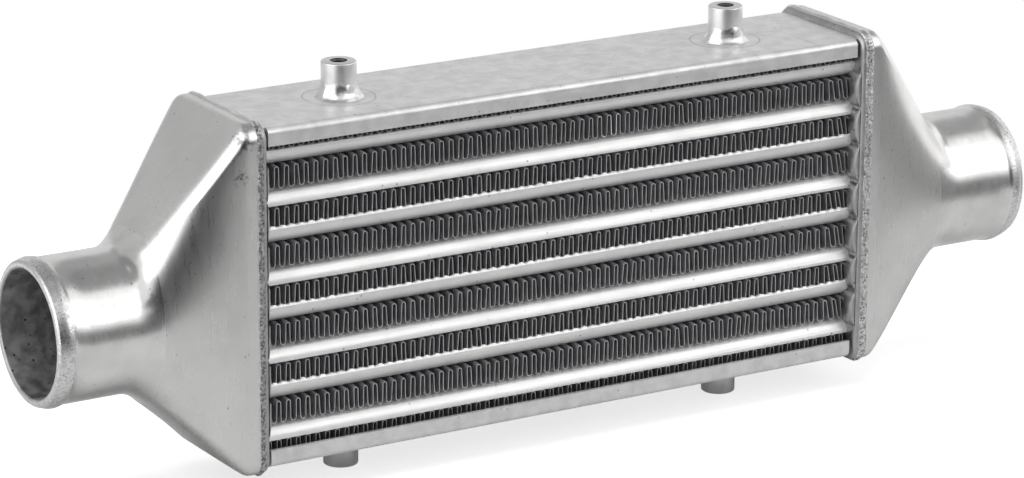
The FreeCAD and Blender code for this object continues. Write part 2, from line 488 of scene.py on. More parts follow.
class Effect(Network):
    """The inside of a shader group that reads object coordinates and gives one value."""

    def __init__(self, name: str, **inputs: float) -> None:
        """Open the group.

        Args:
            name: Name of the group.
            **inputs: Its number inputs and their defaults, with underscores for spaces.
        """
        super().__init__(bpy.data.node_groups.new(name, "ShaderNodeTree"))
        for label, default in inputs.items():
            self._socket(label.replace("_", " "), "INPUT").default_value = default
        self._socket("Value", "OUTPUT")
        self.entry = self.tree.nodes.new("NodeGroupInput")
        self.leave = self.tree.nodes.new("NodeGroupOutput")
        self.place = self.add("TexCoord").outputs["Object"]

    def _socket(self, label: str, way: str) -> bpy.types.NodeTreeInterfaceSocket:
        """Give the group a number socket."""
        return self.tree.interface.new_socket(label, in_out=way, socket_type="NodeSocketFloat")

    def given(self, label: str) -> Socket:
        """One of the group's inputs."""
        return self.entry.outputs[label]

    def parts(self) -> Sequence[Socket]:
        """The place's X, Y and Z."""
        return self.add("SeparateXYZ", {0: self.place}).outputs

    def noise(self, scale: object, detail: float, roughness: float = 0.5,
              place: Socket | None = None) -> Socket:
        """Noise over the object, or over a place of its own.

        Args:
            scale: Waves to a metre.
            detail: How many finer layers it has.
            roughness: How strong the finer layers are.
            place: Coordinates to use instead of the object's.

        Returns:
            The noise, about one half on average.
        """
        return self.add("TexNoise", {"Vector": place or self.place, "Scale": scale,
                                     "Detail": detail, "Roughness": roughness}).outputs[0]

    def from_spot(self) -> Socket:
        """Distance across the front face from the inputs X and Z.

        Returns:
            The distance.
        """
        x, _, z = self.parts()
        return self.hypot(self.math("SUBTRACT", x, self.given("X")),
                          self.math("SUBTRACT", z, self.given("Z")))

    def line(self, distance: Socket) -> Socket:
        """One where a distance is near the input Radius, fading out over Width."""
        off = self.math("ABSOLUTE", self.math("SUBTRACT", distance, self.given("Radius")))
        return self.ramp(off, self.given("Width"), 0.0)

    def close(self, *factors: Socket) -> Tree:
        """Multiply masks and put the result out.

        Args:
            *factors: The masks, or a single value.

        Returns:
            The finished group.
        """
        value = factors[0]
        for factor in factors[1:]:
            value = self.math("MULTIPLY", value, factor)
        self.tree.links.new(value, self.leave.inputs[0])
        return self.tree


class ShaderGroups:
    """Shader node groups for effects that several finishes share."""

    def __init__(self) -> None:
        """Build each group once."""
        self.cloud = self._cloud()
        self.streaks = self._streaks()
        self.grit = self._grit()
        self.ring = self._ring()
        self.scratch = self._scratch()
        self.stain = self._stain()

    @staticmethod
    def _cloud() -> Tree:
        """Soft patches of a given size, from zero to one.

        Returns:
            The group.
        """
        net = Effect("cloud", Size=0.01, Contrast=1.0)
        patches = net.noise(net.math("DIVIDE", 1.0, net.given("Size")), 3.0, 0.55)
        half = net.math("DIVIDE", 0.25, net.given("Contrast"))
        return net.close(net.ramp(patches, net.math("SUBTRACT", 0.5, half),
                                  net.math("ADD", 0.5, half)))

    @staticmethod
    def _streaks() -> Tree:
        """Fine marks that are close where an axis has a high scale, from zero to one.

        Returns:
            The group.
        """
        net = Effect("streaks", Across_X=1.0, Across_Y=1.0, Across_Z=1.0)
        scales = net.add("CombineXYZ", dict(enumerate(net.entry.outputs[:3]))).outputs[0]
        drawn = net.add("VectorMath", {0: net.place, 1: scales}, operation="MULTIPLY").outputs[0]
        return net.close(net.ramp(net.noise(1.0, 4.0, 0.7, drawn), 0.3, 0.7))

    @staticmethod
    def _grit() -> Tree:
        """Small pits scattered at random, one inside a pit and zero elsewhere.

        Returns:
            The group.
        """
        net = Effect("grit", Size=0.001, Share=0.1)
        scale = net.math("DIVIDE", 1.0, net.given("Size"))
        cell = net.add("TexVoronoi", {"Vector": net.place, "Scale": scale, "Randomness": 1.0})
        chance = net.add("SeparateColor", {0: cell.outputs["Color"]}).outputs[0]
        chosen = net.math("LESS_THAN", chance, net.given("Share"))
        return net.close(chosen, net.ramp(cell.outputs["Distance"], 0.45, 0.15))

    @staticmethod
    def _ring() -> Tree:
        """A faint uneven ring round each boss on a side plate, one on the ring's line.

        Returns:
            The group.
        """
        net = Effect("ring", Boss_X=0.09, Radius=0.0155, Width=0.0006)
        x, y, _ = net.parts()
        from_boss = net.math("SUBTRACT", net.math("ABSOLUTE", x), net.given("Boss X"))
        wobble = net.math("SUBTRACT", net.noise(90.0, 1.0), 0.5)
        shift = net.math("MULTIPLY", wobble, 0.002)
        return net.close(net.line(net.math("ADD", net.hypot(from_boss, y), shift)))

    @staticmethod
    def _scratch() -> Tree:
        """A curved scratch on a front face, one on its line.

        Returns:
            The group.
        """
        net = Effect("scratch", X=0.0, Z=0.0, Radius=0.05, Width=0.0001, From_X=0.0, To_X=0.1)
        x, y, _ = net.parts()
        after = net.math("GREATER_THAN", x, net.given("From X"))
        before = net.math("LESS_THAN", x, net.given("To X"))
        front = net.math("LESS_THAN", y, 0.0)
        return net.close(net.line(net.from_spot()), after, before, front)

    @staticmethod
    def _stain() -> Tree:
        """Small ragged spots gathered round a place on a front face.

        Returns:
            The group.
        """
        net = Effect("stain", X=0.0, Z=0.0, Reach=0.005)
        near = net.ramp(net.from_spot(), net.given("Reach"), 0.0)
        ragged = net.math("ADD", net.noise(620.0, 2.0), net.math("MULTIPLY", near, 0.12))
        front = net.math("LESS_THAN", net.parts()[1], -0.025)
        return net.close(net.ramp(ragged, 0.6, 0.65), near, front)


@dataclass(frozen=True)
class MetalFinish:
    """An aluminium surface: tone, gloss and the marks that its making leaves.

    Sizes and depths are in metres, streak_scale is in streaks to a metre along each axis, and
    a share runs from zero to one.
    """

    name: str
    tone: Tone
    patch_tone: Tone
    roughness: float
    roughness_spread: float
    patch_size: float
    pit_size: float = 0.0
    pit_share: float = 0.0
    pit_tone: Tone = 0.12
    streak_scale: Point | None = None
    streak_depth: float = 0.0
    grain_size: float = 0.0004
    grain_depth: float = 0.0
    metal: float = 1.0
    patch_contrast: float = 1.2
    grain_contrast: float = 0.6

    def build(self, groups: ShaderGroups) -> tuple[Material, Network, bpy.types.Node]:
        """Make the material.

        Args:
            groups: The shared shader groups.

        Returns:
            The material, its network and its Principled shader.
        """
        material = bpy.data.materials.new(self.name)
        material.use_nodes = True
        net = Network(material.node_tree)
        shader = material.node_tree.nodes["Principled BSDF"]
        shader.inputs["Metallic"].default_value = self.metal
        cloud = net.group(groups.cloud, Size=self.patch_size, Contrast=self.patch_contrast)
        colour = net.mix(cloud, rgba(self.tone), rgba(self.patch_tone))
        if self.pit_share:
            pits = net.group(groups.grit, Size=self.pit_size, Share=self.pit_share)
            colour = net.mix(pits, colour, rgba(self.pit_tone))
        net.tree.links.new(colour, shader.inputs["Base Color"])
        marks = cloud
        if self.streak_scale:
            across = dict(zip(("Across_X", "Across_Y", "Across_Z"), self.streak_scale))
            marks = net.group(groups.streaks, **across)
        gloss = net.ramp(marks, 0.0, 1.0, self.roughness - self.roughness_spread,
                         self.roughness + self.roughness_spread)
        net.tree.links.new(gloss, shader.inputs["Roughness"])
        grain = net.group(groups.cloud, Size=self.grain_size, Contrast=self.grain_contrast)
        bump = net.add("Bump", {"Height": grain, "Strength": 1.0, "Distance": self.grain_depth})
        if self.streak_scale:
            bump = net.add("Bump", {"Height": marks, "Strength": 1.0, "Normal": bump.outputs[0],
                                    "Distance": self.streak_depth})
        net.tree.links.new(bump.outputs[0], shader.inputs["Normal"])
        return material, net, shader


class Finishes:
    """Every material of the intercooler, built once."""

    def __init__(self, groups: ShaderGroups) -> None:
        """Build the materials.

        Args:
            groups: The shared shader groups.
        """
        self.groups = groups
        self.cast = self._cast()
        self.turned = self._plain(MetalFinish(
            "linished_spigot", (0.68, 0.675, 0.67), (0.78, 0.775, 0.77), 0.23, 0.035, 0.012,
            pit_size=0.0012, pit_share=0.02, pit_tone=0.4,
            streak_scale=(2400.0, 70.0, 70.0), streak_depth=3.8e-6,
            grain_size=0.0006, grain_depth=1e-5))
        self.sanded = self._plain(MetalFinish(
            "sanded_edge", (0.8, 0.8, 0.795), 0.56, 0.33, 0.07, 0.0011,
            pit_size=0.0011, pit_share=0.1, pit_tone=0.3, grain_size=0.0006, grain_depth=5e-5))
        # Dark tank insides: painted shade of the hollow, darker than the cast skin outside.
        self.bore = self._plain(MetalFinish(
            "cast_bore_painted_shade", (0.4, 0.4, 0.41), 0.55, 0.5, 0.08, 0.005,
            pit_size=0.0014, pit_share=0.04, pit_tone=0.04, grain_size=0.0012,
            grain_depth=2e-5))
        self.weld = self._plain(MetalFinish(
            "sanded_weld", 0.86, 0.3, 0.38, 0.14, 0.001,
            pit_size=0.0011, pit_share=0.3, pit_tone=0.1, grain_size=0.0007, grain_depth=2e-4))
        self.dull_weld = self._plain(MetalFinish(
            "dull_weld", 0.55, 0.14, 0.42, 0.12, 0.0012,
            pit_size=0.0011, pit_share=0.3, pit_tone=0.05, grain_size=0.0008,
            grain_depth=2.5e-4))
        self.boss = self._plain(MetalFinish(
            "turned_boss", 0.74, 0.8, 0.42, 0.04, 0.01, streak_scale=(50.0, 50.0, 3000.0),
            streak_depth=2e-6, grain_size=0.0005, grain_depth=5e-6))
        # Near-black threads: painted shade inside the boss holes.
        self.thread = self._plain(MetalFinish(
            "thread_painted_shade", (0.1, 0.095, 0.09), (0.16, 0.15, 0.14), 0.5, 0.1, 0.002))
        self.fresh_weld = self._plain(MetalFinish(
            "bright_weld", 0.84, 0.7, 0.34, 0.06, 0.003,
            pit_size=0.0012, pit_share=0.04, pit_tone=0.15, grain_size=0.0015,
            grain_depth=5e-5))
        self.plate = self._plate()
        # Header sheet darker than the plates' same sheet: painted shade of the recess between tank
        # and fins.
        self.header = self._plain(MetalFinish(
            "header_sheet", 0.38, 0.48, 0.42, 0.08, 0.004,
            pit_size=0.0014, pit_share=0.03, grain_size=0.0006, grain_depth=1.4e-5))
        self.tube = self._plain(MetalFinish(
            "drawn_tube", (0.82, 0.815, 0.81), (0.88, 0.875, 0.87), 0.45, 0.05, 0.012,
            pit_size=0.0016, pit_share=0.02, pit_tone=0.45,
            streak_scale=(40.0, 500.0, 900.0), streak_depth=1e-5,
            grain_size=0.0009, grain_depth=2e-5, metal=0.62))
        # Braze finish, also laid on bent fin edges as painted glints.
        self.braze_and_glint = self._plain(MetalFinish(
            "braze_and_painted_glint", 0.98, 0.94, 0.38, 0.06, 0.002, metal=0.25))
        # Fin walls darker than the tubes' same aluminium: painted shade of the light trapped
        # between the folds.
        self.fin_wall_painted_shade = self._plain(MetalFinish(
            "fin_wall_painted_shade", (0.3, 0.3, 0.315), (0.38, 0.38, 0.395), 0.5, 0.06, 0.004,
            grain_size=0.0005, grain_depth=1e-5, metal=0.55))
        # Cut fin edges darker than bare aluminium: painted shade among the folds.
        self.fin_edge_painted_shade = self._plain(MetalFinish(
            "fin_cut_edge_painted_shade", (0.46, 0.46, 0.47), (0.6, 0.6, 0.61), 0.45, 0.08, 0.003,
            grain_size=0.0004, grain_depth=1e-5, metal=0.7))

    def _plain(self, finish: MetalFinish) -> Material:
        """Build a finish that needs nothing more."""
        return finish.build(self.groups)[0]

    def _marked(self, finish: MetalFinish,
                *marks: tuple[float, Tone, Callable[[Network], Socket]]) -> Material:
        """Build a finish with marks over its colour.

        Args:
            finish: The finish below the marks.
            *marks: For each mark its strength, its tone and what adds its mask.

        Returns:
            The material.
        """
        material, net, shader = finish.build(self.groups)
        colour = shader.inputs["Base Color"].links[0].from_socket
        for strength, tone, mask in marks:
            colour = net.mix(net.math("MULTIPLY", mask(net), strength), colour, rgba(tone))
        net.tree.links.new(colour, shader.inputs["Base Color"])
        return material

    def _cast(self) -> Material:
        """Cast skin, brushed upright, with a few scratches and oxide spots.

        Returns:
            The material.
        """
        scratch, stain = self.groups.scratch, self.groups.stain
        finish = MetalFinish(
            "cast_satin", (0.68, 0.675, 0.67), (0.74, 0.735, 0.73), 0.29, 0.018, 0.02,
            pit_size=0.0014, pit_share=0.012, pit_tone=0.45,
            streak_scale=(900.0, 260.0, 50.0), streak_depth=1.2e-6,
            grain_size=0.0007, grain_depth=6e-6)
        spots = (0.8, (0.16, 0.16, 0.18), lambda net: net.math(
            "MAXIMUM", net.group(stain, X=-0.1475, Z=0.0645, Reach=0.007),
            net.group(stain, X=-0.149, Z=0.051, Reach=0.005)))
        lines = (0.6, 0.98, lambda net: net.math(
            "MAXIMUM",
            net.group(scratch, X=0.1817, Z=-0.0203, Radius=0.0436, Width=0.00016,
                      From_X=0.1515, To_X=0.1675),
            net.group(scratch, X=0.197, Z=0.3216, Radius=0.3, Width=0.00014,
                      From_X=0.1526, To_X=0.1599)))
        return self._marked(finish, spots, lines)

    def _plate(self) -> Material:
        """Side-plate sheet, with the faint heat ring round each boss.

        Returns:
            The material.
        """
        finish = MetalFinish(
            "plate_sheet", 0.68, 0.8, 0.45, 0.09, 0.006,
            pit_size=0.0015, pit_share=0.02, pit_tone=0.5,
            streak_scale=(30.0, 600.0, 600.0), streak_depth=3e-6,
            grain_size=0.0012, grain_depth=1e-5, metal=0.7)
        ring = (0.55, (0.3, 0.3, 0.31), lambda net: net.group(
            self.groups.ring, Boss_X=0.09, Radius=0.0143, Width=0.0006))
        return self._marked(finish, ring)


@dataclass
class EndTank:
    """A cast end tank: skirt, square-to-round taper, neck, spigot, bead, mouth and inside.

    tall_turn and wide_turn are the parts of the spigot, in degrees, that the tall and the wide
    sides of the skirt run to. The sides at the front and the back are the tall ones.
    """

    side: Side
    finishes: Finishes
    wall: float = 3.0 * MM
    seam_flat: float = 1.5 * MM
    skirt: float = 5.3 * MM
    skirt_corner: float = 7.0 * MM
    skirt_round: float = 1.6 * MM
    taper: float = 40.0 * MM
    drop: float = 7.0 * MM
    spigot_radius: float = 28.5 * MM
    bore_radius: float = 25.2 * MM
    neck_reach: float = 5.5 * MM
    bead_width: float = 6.4 * MM
    bead_height: float = 0.8 * MM
    mouth_round: float = 1.6 * MM
    sandy_mouth: float = 6.6 * MM
    sandy_seam: float = 1.6 * MM
    bore_share: float = 0.2
    corner_steps: int = 14
    side_steps: int = 18
    bend_steps: int = 4
    taper_steps: int = 16
    neck_steps: int = 10
    spigot_steps: int = 4
    bead_steps: int = 8
    tall_turn: float = 112.0
    wide_turn: float = 44.0
    rounding: float = 1.25
    waviness: float = 0.12 * MM
    swell_scale: float = 45.0
    ripple_scale: float = 130.0
    ripple_share: float = 0.4
    calm_mouth: float = 10.0 * MM
    notch_depth: float = 0.7 * MM
    notch_past_neck: float = 1.0 * MM
    notch_slant: float = 0.25 * MM
    notch_width: float = 1.5 * MM
    notch_turn: float = 40.0
    notch_spread: float = 11.0
    sharp_angle: float = 50.0
    seam_x: float = field(init=False)
    mouth_x: float = field(init=False)
    neck_x: float = field(init=False)
    half_depth: float = field(init=False)
    half_height: float = field(init=False)

    def __post_init__(self) -> None:
        """Read the casting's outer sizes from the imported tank."""
        low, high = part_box(f"tank_{self.side.word}")
        self.seam_x, self.mouth_x = sorted((abs(low.x), abs(high.x)))
        self.neck_x = self.seam_x + self.skirt + self.taper
        self.half_depth, self.half_height = high.y, high.z

    def _frame_outline(self, inset: float) -> Profile:
        """Rounded rectangle of the skirt, as points of depth and height.

        Args:
            inset: Distance inside the outer skin.

        Returns:
            The points, beginning at the middle of the +Y side.
        """
        radius = self.skirt_corner - inset
        y, z = self.half_depth - inset - radius, self.half_height - inset - radius
        corners = ((y, z), (-y, z), (-y, -z), (y, -z))
        arcs = [arc_points(c, radius, 90.0 * i, 90.0 * (i + 1), self.corner_steps)
                for i, c in enumerate(corners)]
        points = []
        for i, arc in enumerate(arcs):
            before = arcs[i - 1][-1]
            for step in range(1, self.side_steps):
                share = step / self.side_steps
                points.append((before[0] + (arc[0][0] - before[0]) * share,
                               before[1] + (arc[0][1] - before[1]) * share))
            points += arc
        return points

    def _round_angles(self) -> list[float]:
        """Angle on the spigot that each point of the skirt's outline runs to.

        Returns:
            The angles in degrees, in the outline's order.
        """
        angles = []
        corner = 90.0 - (self.tall_turn + self.wide_turn) / 2
        for quarter in range(4):
            turn = self.wide_turn if quarter % 2 else self.tall_turn
            start = 90.0 * quarter - turn / 2
            angles += [start + turn * i / self.side_steps for i in range(1, self.side_steps)]
            angles += [start + turn + corner * i / self.corner_steps
                       for i in range(self.corner_steps + 1)]
        return angles

    def _ring(self, x: float, points: Profile) -> Outline:
        """Place an outline across X on this tank's side."""
        return [Vector((self.side.sign * x, y, z)) for y, z in points]

    def _circle(self, radius: float) -> Profile:
        """Points of a circle round the spigot's axis."""
        turns = [math.radians(angle) for angle in self._round_angles()]
        return [(radius * math.cos(a), radius * math.sin(a) - self.drop) for a in turns]

    def _skin(self, inset: float, radius: float, start_x: float) -> list[Outline]:
        """Rings from the seam over the taper to the straight part of the spigot.

        Args:
            inset: Distance inside the outer skin.
            radius: Radius of the round end.
            start_x: Where the taper starts.

        Returns:
            The rings in order.
        """
        wide, narrow = self._frame_outline(inset), self._circle(radius)
        first, last = start_x + self.skirt_round, self.neck_x - self.neck_reach
        flat_ends = (self.seam_x, self.seam_x + self.seam_flat, start_x - self.skirt_round)
        rings = [self._ring(x, wide) for x in flat_ends]
        far = self._section(wide, narrow, start_x, first)
        for i in range(1, self.bend_steps + 1):
            rings.append(self._bend(wide, far, start_x, i / self.bend_steps))
        for i in range(1, self.taper_steps + 1):
            x = first + (last - first) * i / self.taper_steps
            rings.append(self._ring(x, self._section(wide, narrow, start_x, x)))
        near = self._section(wide, narrow, start_x, last)
        for i in range(1, self.neck_steps + 1):
            rings.append(self._neck(near, narrow, last, i / self.neck_steps))
        return rings

    def _section(self, wide: Profile, narrow: Profile, start_x: float, x: float) -> Profile:
        """Outline across the taper, whose corners round off later than its sides draw in.

        Args:
            wide: The skirt's outline.
            narrow: The spigot's outline.
            start_x: Where the taper starts.
            x: Where the section is.

        Returns:
            The section's outline.
        """
        share = (x - start_x) / (self.neck_x - start_x)
        turn = share ** self.rounding
        radius = max(b[0] for b in narrow)
        half_y, half_z = max(a[0] for a in wide), max(a[1] for a in wide)
        wide_y, wide_z = half_y + (radius - half_y) * share, half_z + (radius - half_z) * share
        return [(wide_y * ((1 - turn) * a[0] / half_y + turn * b[0] / radius),
                 wide_z * ((1 - turn) * a[1] / half_z + turn * (b[1] + self.drop) / radius)
                 - self.drop * share) for a, b in zip(wide, narrow)]

    def _bend(self, wide: Profile, far: Profile, start_x: float, share: float) -> Outline:
        """Ring on the soft bend between the skirt and the taper.

        Args:
            wide: The skirt's outline.
            far: The taper's outline where the bend ends.
            start_x: Where the taper starts.
            share: How far along the bend the ring is.

        Returns:
            The ring.
        """
        points = [between(a, b, share ** 2) for a, b in zip(wide, far)]
        low_x, high_x = start_x - self.skirt_round, start_x + self.skirt_round
        x = (1 - share) ** 2 * low_x + 2 * share * (1 - share) * start_x + share ** 2 * high_x
        return self._ring(x, points)

    def _neck(self, near: Profile, narrow: Profile, start_x: float, share: float) -> Outline:
        """Ring on the hollow round where the taper runs into the spigot.

        Args:
            near: The taper's outline where the round starts.
            narrow: The spigot's outline.
            start_x: Where the round starts.
            share: How far along the round the ring is.

        Returns:
            The ring.
        """
        points = [between(b, a, (1 - share) ** 2) for a, b in zip(near, narrow)]
        return self._ring(start_x + 2 * self.neck_reach * share, points)

    def _spigot_profile(self) -> Profile:
        """Outside of the spigot past the neck, then the mouth.

        Returns:
            Places along X and radii.
        """
        mouth_start = self.mouth_x - self.mouth_round
        bead_start = mouth_start - self.bead_width
        neck_end = self.neck_x + self.neck_reach
        profile = [(neck_end + (bead_start - neck_end) * i / self.spigot_steps,
                    self.spigot_radius) for i in range(1, self.spigot_steps)]
        for i in range(self.bead_steps + 1):
            share = i / self.bead_steps
            rise = self.bead_height * math.sin(math.pi * share)
            profile.append((bead_start + self.bead_width * share, self.spigot_radius + rise))
        outer, inner = self.mouth_round, self.mouth_round / 2
        profile += arc_points((mouth_start, self.spigot_radius - outer), outer, 75.0, 0.0, 5)
        return profile + arc_points((self.mouth_x - inner, self.bore_radius + inner), inner,
                                    0.0, -90.0, 4)

    def _wavy(self, place: Vector) -> Vector:
        """Cast skin: a low swell that dies out at the seam and the spigot, and the neck's crease.

        Args:
            place: A point of the casting.

        Returns:
            Its new place.
        """
        x, y, z = abs(place.x), place.y, place.z + self.drop
        if math.hypot(y, z) < self.bore_radius + self.wall / 2 and x > self.neck_x:
            return place
        share = clamp((x - self.seam_x) / self.skirt)
        share *= clamp((self.mouth_x - self.calm_mouth - x) / (self.mouth_x - self.neck_x))
        swell = (noise.noise(place * self.swell_scale)
                 + self.ripple_share * noise.noise(place * self.ripple_scale))
        turn = math.degrees(math.atan2(z, -y)) - self.notch_turn
        along = (x - self.neck_x - self.notch_past_neck + self.notch_slant * turn)
        notch = (math.exp(-(along / self.notch_width) ** 2)
                 * math.exp(-(turn / self.notch_spread) ** 2))
        outward = Vector((0.0, y, z)).normalized()
        return place + outward * (swell * self.waviness * share - self.notch_depth * notch)

    def _paint(self, tank: Piece) -> None:
        """Give the spigot its linished finish, its mouth a sanded one, the inside painted shade.

        Args:
            tank: The casting.
        """
        lip = self.bore_radius + self.mouth_round / 2
        bore_start = self.neck_x - self.taper * self.bore_share
        for face in tank.data.polygons:
            x, y, z = abs(face.center.x), face.center.y, face.center.z + self.drop
            inward = Vector((0.0, y, z)).dot(face.normal) < 0
            # Inward faces inside the tank take the dark bore finish: painted shade.
            if inward and (x < self.neck_x or math.hypot(y, z) < lip and x > bore_start):
                face.material_index = TankSlot.BORE
            elif x > self.mouth_x - self.sandy_mouth or x < self.seam_x + self.sandy_seam:
                face.material_index = TankSlot.SANDED
            elif x > self.neck_x - self.neck_reach:
                face.material_index = TankSlot.TURNED

    def build(self) -> None:
        """Make the tank and dress it."""
        outer = self._skin(0.0, self.spigot_radius, self.seam_x + self.skirt)
        middle = [self._ring(x, self._circle(r)) for x, r in self._spigot_profile()]
        inner = self._skin(self.wall, self.bore_radius, self.seam_x + self.skirt - self.wall / 2)
        rings = outer + middle + inner[::-1]
        tank = loft(f"tank_casting_{self.side.word}", rings, closed=True)
        shape_vertices(tank, self._wavy)
        face_outwards(tank)
        smooth(tank, self.sharp_angle)
        self._paint(tank)
        looks = {TankSlot.CAST: self.finishes.cast, TankSlot.TURNED: self.finishes.turned,
                 TankSlot.BORE: self.finishes.bore, TankSlot.SANDED: self.finishes.sanded}
        hand_in(tank, [looks[slot] for slot in TankSlot],
                f"tank_{self.side.word}")


@dataclass
class TankWeld:
    """The lumpy bead round the seam between a tank and its header, ground smooth on top.

    A scale is in waves to a millimetre.
    """

    side: Side
    finishes: Finishes
    finish: Material
    rng: random.Random
    width: float = 4.3 * MM
    shift: float = 0.0
    crown: float = 0.85 * MM
    root: float = 0.35 * MM
    corner: float = 7.0 * MM
    across: int = 9
    spacing: float = 0.9 * MM
    dome_power: float = 0.7
    swell_scale: float = 0.16
    roughness: float = 0.2 * MM
    rough_scale: float = 0.9
    wander: float = 0.35 * MM
    wander_scale: float = 0.1
    lump: float = 1.0 * MM
    lump_scale: float = 0.35
    lump_reach: float = 6.0 * MM
    ground_share: float = 0.3
    ground_depth: float = 0.6 * MM
    sharp_angle: float = 60.0

    def _outline(self) -> list[tuple[float, float, float, float]]:
        """Points round the seam with their outward direction.

        Returns:
            Depth, height and the direction's two parts, for each point.
        """
        _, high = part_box(f"header_{self.side.word}")
        y, z = high.y - self.corner, high.z - self.corner
        corners = ((y, z), (-y, z), (-y, -z), (y, -z))
        quarter = max(6, round(self.corner * math.pi / 2 / self.spacing))
        points = []
        for i, centre in enumerate(corners):
            for step in range(quarter):
                angle = math.radians(90.0 * (i + step / quarter))
                out = (math.cos(angle), math.sin(angle))
                points.append((centre[0] + self.corner * out[0],
                               centre[1] + self.corner * out[1], *out))
            angle = math.radians(90.0 * (i + 1))
            out = (math.cos(angle), math.sin(angle))
            run = [b - a for a, b in zip(centre, corners[(i + 1) % 4])]
            count = max(2, round(math.hypot(*run) / self.spacing))
            for step in range(count):
                points.append((centre[0] + run[0] * (step / count) + self.corner * out[0],
                               centre[1] + run[1] * (step / count) + self.corner * out[1], *out))
        return points

    def _handwork(self, outline: Sequence[tuple[float, float, float, float]]) -> list[Pair]:
        """How the welder left each point of the seam.

        Args:
            outline: The seam's points.

        Returns:
            For each point how near a corner it is, and how rough it was left.
        """
        high_y, high_z = (max(point[k] for point in outline) for k in range(2))
        shares = []
        for y, z, _, out_z in outline:
            away = max(0.0, high_y - abs(y)) + max(0.0, high_z - abs(z))
            shares.append((math.exp(-(away / self.lump_reach) ** 2),
                           self.ground_share if out_z > 0.8 else 1.0))
        return shares

    def build(self) -> None:
        """Make the bead and dress it."""
        node = f"tank_weld_{self.side.word}"
        low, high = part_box(node)
        middle_x = (low.x + high.x) / 2 - self.side.sign * self.shift
        outline = self._outline()
        shares = self._handwork(outline)
        seed = Vector([self.rng.uniform(0, 50) for _ in range(3)])
        rings = []
        for i in range(self.across):
            share = i / (self.across - 1)
            dome = math.sin(math.pi * share) ** self.dome_power
            layer = Vector((i * 1.7, 0.0, 0.0))
            ring = []
            for (y, z, out_y, out_z), (corner, left) in zip(outline, shares):
                place = Vector((middle_x, y, z)) / MM
                swell = self.crown * (0.75 + 0.5 * noise.noise(place * self.swell_scale + seed))
                grain = noise.noise(place * self.rough_scale + layer + seed)
                rough = self.roughness * left * grain
                bulge = max(0.0, noise.noise(place * self.lump_scale + seed) + 0.25)
                lift = ((swell + rough + self.lump * corner * bulge) * dome
                        - self.root * (1 - dome))
                x = (middle_x + (share - 0.5) * self.width
                     + self.wander * noise.noise(place * self.wander_scale - seed))
                ring.append(Vector((x, y + out_y * lift, z + out_z * lift)))
            rings.append(ring)
        under = [[Vector((point.x, y - out_y * MM, z - out_z * MM))
                  for point, (y, z, out_y, out_z) in zip(ring, outline)]
                 for ring in (rings[-1], rings[0])]
        bead = loft(f"seam_weld_{self.side.word}", rings + under, closed=True)
        smooth(bead, self.sharp_angle)
        top = max(point[1] for point in outline)
        for face in bead.data.polygons:
            face.material_index = int(face.center.z > top - self.ground_depth)
        hand_in(bead, (self.finish, self.finishes.cast), node)


